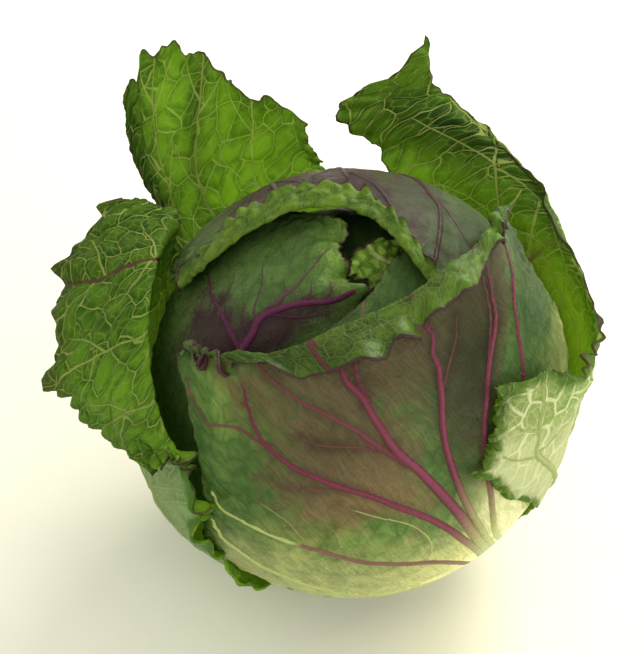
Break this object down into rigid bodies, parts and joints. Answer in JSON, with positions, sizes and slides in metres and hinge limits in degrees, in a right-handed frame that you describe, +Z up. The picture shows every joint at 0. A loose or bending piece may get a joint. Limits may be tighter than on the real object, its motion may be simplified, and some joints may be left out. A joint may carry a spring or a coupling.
{
  "type": "savoy cabbage",
  "caption": "Whole savoy cabbage at rest: a round head under crinkled, flushed leaves, with loose net-veined outer leaves standing open round it and a short cut stalk.",
  "frame": {"origin": "middle of the small flat spot the head rests on, at table height", "axes": "+Z straight up off the table; -Y towards the front leaf, +X towards the side the cut stalk points down to"},
  "size_m": [0.2092, 0.2049, 0.1778],
  "materials": {
    "flushed_leaf": "satin, dark green flushed purple, with raised purple ribs",
    "wrapper_leaf": "satin, bright green with a raised net of pale veins",
    "head_leaf": "satin, mid green with purple ribs",
    "heart_leaf": "satin, fresh green",
    "cut_stalk": "matt, pale cut stem"
  },
  "bodies": {
    "root": {"back_leaf": "wrapper_leaf", "back_left_leaf": "wrapper_leaf", "front_leaf": "flushed_leaf", "heart": "heart_leaf", "hood_leaf": "flushed_leaf", "inner_leaf_left": "head_leaf", "inner_leaf_right": "head_leaf", "inner_leaf_small": "heart_leaf", "left_leaf": "wrapper_leaf", "right_leaf": "wrapper_leaf", "stalk": "cut_stalk"}
  },
  "joints": []
}
